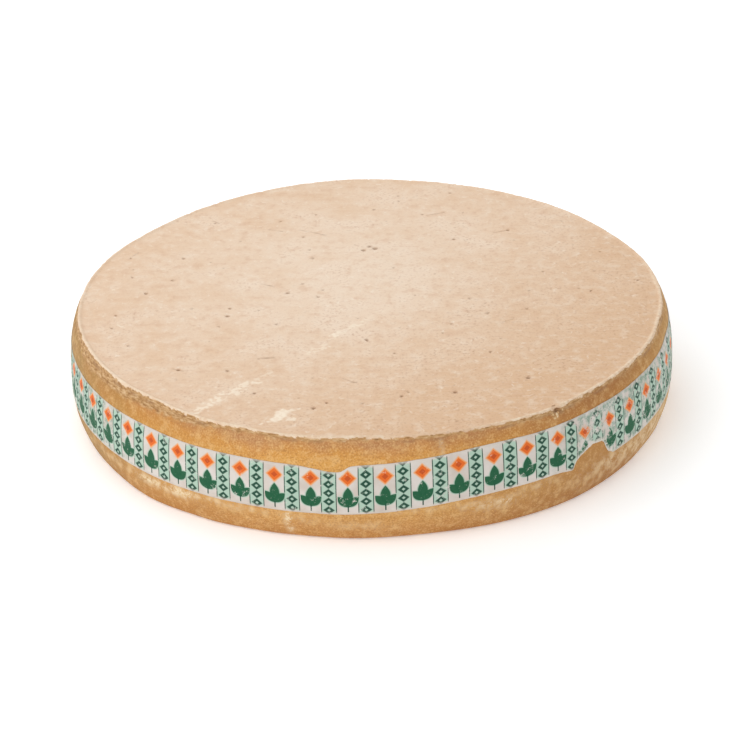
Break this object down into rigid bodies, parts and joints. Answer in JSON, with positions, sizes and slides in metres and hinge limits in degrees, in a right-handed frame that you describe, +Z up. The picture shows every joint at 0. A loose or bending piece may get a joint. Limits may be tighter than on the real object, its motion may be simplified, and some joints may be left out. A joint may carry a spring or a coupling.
{
  "type": "hard cheese wheel",
  "caption": "Whole wheel of hard, long-aged cheese with a natural rind, a raised lip round its flat top and a printed paper band glued round its bulging heel.",
  "frame": {"origin": "middle of the flat base", "axes": "+Z up out of the top face; -Y towards the front, where the paper band's upper edge has its dent; +X to the right as seen from the front"},
  "size_m": [0.652, 0.652, 0.117],
  "materials": {
    "rind": "dry natural rind: pinkish beige and finely pitted on the top face, ochre and speckled round the heel",
    "printed_paper": "matt greyish white paper printed in green and orange, worn thin in places"
  },
  "bodies": {
    "root": {"cheese_wheel": "rind", "paper_band": "printed_paper"}
  },
  "joints": []
}
